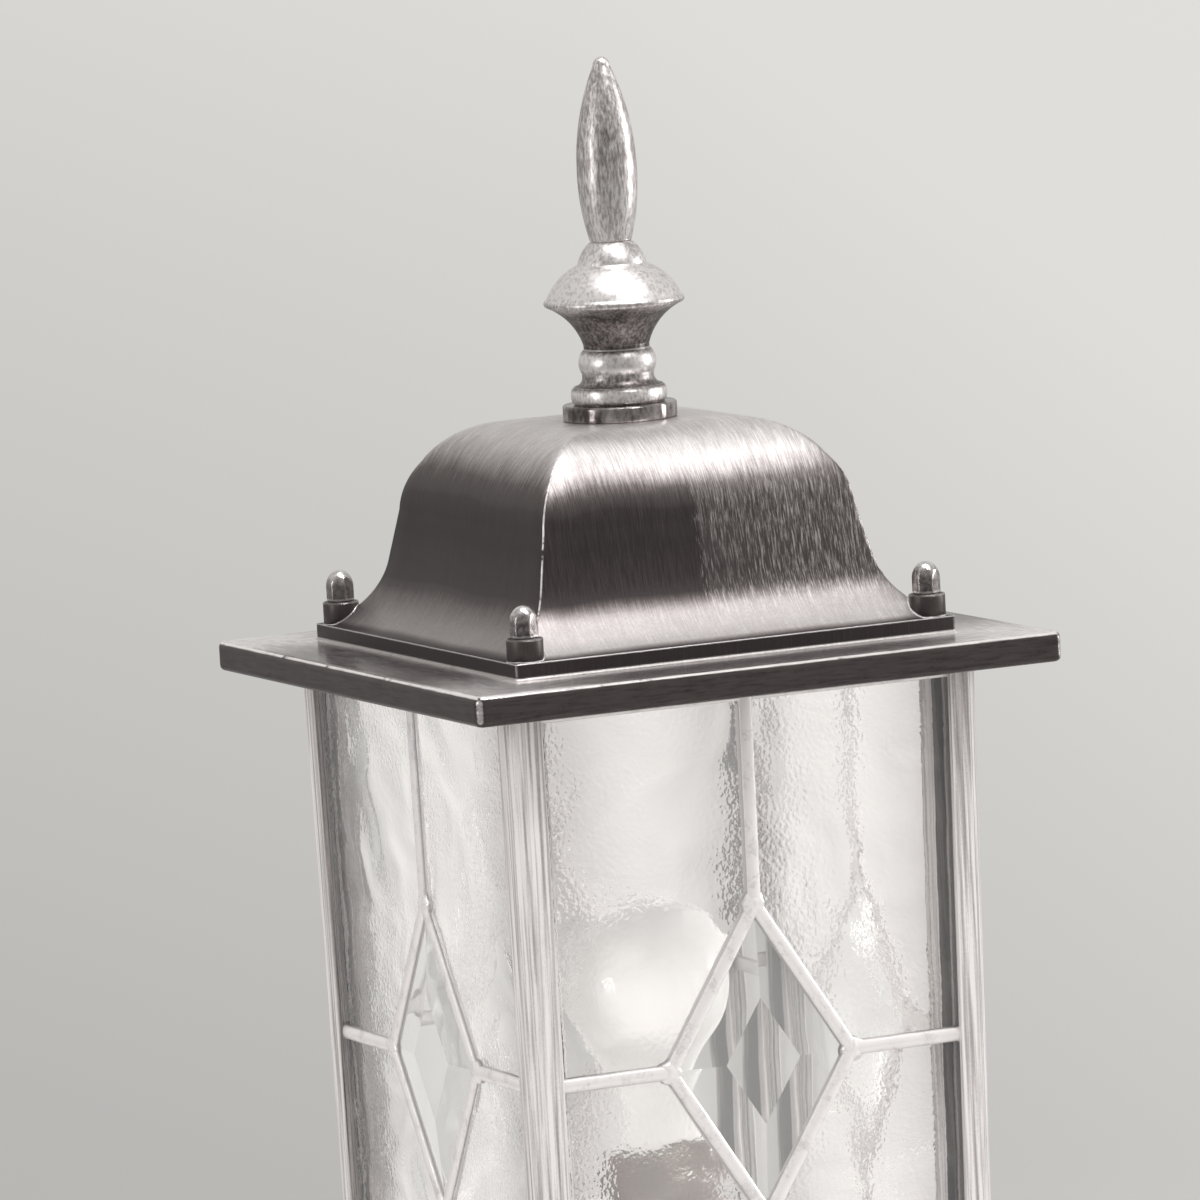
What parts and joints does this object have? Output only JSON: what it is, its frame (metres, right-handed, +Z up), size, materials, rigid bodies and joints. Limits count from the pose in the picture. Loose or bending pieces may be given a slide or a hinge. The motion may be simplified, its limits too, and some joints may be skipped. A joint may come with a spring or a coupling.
{
  "type": "post top lantern",
  "caption": "Square post top lantern with a bell roof, turned finial, leaded textured glass with bevelled diamonds, a lamp, and a round socket for a post.",
  "frame": {"origin": "centre of the post fitter's mouth, at the lantern's foot", "axes": "+Z up along the post; the front panel faces -Y and the left panel faces -X"},
  "size_m": [0.21, 0.21, 0.5697],
  "materials": {
    "cast_metal": "black paint with silver brushed over the edges and raised parts",
    "came_metal": "soft silver, hand soldered",
    "textured_glass": "clear, hammered and rippled",
    "bevelled_glass": "clear, ground and polished bevels",
    "bulb_glass": "pearl",
    "clear_glass": "clear",
    "plated_steel": "zinc plated",
    "nut_metal": "blackened, worn silver",
    "brass": "plain",
    "bakelite": "black moulded",
    "ceramic": "glazed white",
    "nylon": "natural moulded",
    "rubber": "black",
    "wire_sheath": "heat resistant sleeve"
  },
  "bodies": {
    "lantern_body": {"eaves_plate": "cast_metal", "roof_studs": "plated_steel", "panel_seals": "rubber", "lampholder_shell": "bakelite", "lampholder_base": "bakelite", "lampholder_core": "ceramic", "lampholder_sleeve": "brass", "lampholder_contact": "brass", "lamp_pillar": "plated_steel", "pillar_nuts": "plated_steel", "base_plate": "cast_metal", "base_plate_screws": "plated_steel", "post_screws": "plated_steel", "base_casting": "cast_metal", "post_fitter": "cast_metal", "fitter_screws": "plated_steel", "terminal_block": "nylon", "terminal_screws": "brass", "earth_screw": "brass", "cable_grommet": "rubber", "lamp_wires": "wire_sheath", "corner_post_front_left": "cast_metal", "corner_post_front_right": "cast_metal", "corner_post_back_left": "cast_metal", "corner_post_back_right": "cast_metal", "leading_front": "came_metal", "textured_glass_front": "textured_glass", "bevelled_glass_front": "bevelled_glass", "leading_right": "came_metal", "textured_glass_right": "textured_glass", "bevelled_glass_right": "bevelled_glass", "leading_back": "came_metal", "textured_glass_back": "textured_glass", "bevelled_glass_back": "bevelled_glass", "leading_left": "came_metal", "textured_glass_left": "textured_glass", "bevelled_glass_left": "bevelled_glass"},
    "roof": {"finial_spear": "cast_metal", "finial_urn": "cast_metal", "finial_base_ring": "cast_metal", "finial_stud": "plated_steel", "finial_washer": "plated_steel", "finial_nut": "plated_steel", "roof_dome": "cast_metal"},
    "lamp": {"lamp_glass": "bulb_glass", "lamp_cap": "brass", "lamp_contact": "ceramic", "lamp_stem": "clear_glass", "lamp_filament": "plated_steel"},
    "cap_nut_front_left": {"cap_nut_front_left": "nut_metal"},
    "cap_nut_front_right": {"cap_nut_front_right": "nut_metal"},
    "cap_nut_back_left": {"cap_nut_back_left": "nut_metal"},
    "cap_nut_back_right": {"cap_nut_back_right": "nut_metal"},
    "set_screw_1": {"set_screw_1": "nut_metal"},
    "set_screw_2": {"set_screw_2": "nut_metal"},
    "set_screw_3": {"set_screw_3": "nut_metal"}
  },
  "joints": [
    {"name": "roof_lift", "type": "slide", "parent": "lantern_body", "child": "roof", "axis": [0, 0, 1], "range_m": [0, 0.06]},
    {"name": "lamp_unscrew", "type": "slide", "parent": "lantern_body", "child": "lamp", "axis": [0, 0, 1], "range_m": [0, 0.03]},
    {"name": "cap_nut_front_left_unscrew", "type": "slide", "parent": "roof", "child": "cap_nut_front_left", "axis": [0, 0, 1], "range_m": [0, 0.012]},
    {"name": "cap_nut_front_right_unscrew", "type": "slide", "parent": "roof", "child": "cap_nut_front_right", "axis": [0, 0, 1], "range_m": [0, 0.012]},
    {"name": "cap_nut_back_left_unscrew", "type": "slide", "parent": "roof", "child": "cap_nut_back_left", "axis": [0, 0, 1], "range_m": [0, 0.012]},
    {"name": "cap_nut_back_right_unscrew", "type": "slide", "parent": "roof", "child": "cap_nut_back_right", "axis": [0, 0, 1], "range_m": [0, 0.012]},
    {"name": "set_screw_1_turn", "type": "slide", "parent": "lantern_body", "child": "set_screw_1", "axis": [0, -1, 0], "range_m": [-0.006, 0.0025]},
    {"name": "set_screw_2_turn", "type": "slide", "parent": "lantern_body", "child": "set_screw_2", "axis": [0.866, 0.5, 0], "range_m": [-0.006, 0.0025]},
    {"name": "set_screw_3_turn", "type": "slide", "parent": "lantern_body", "child": "set_screw_3", "axis": [-0.866, 0.5, 0], "range_m": [-0.006, 0.0025]}
  ]
}
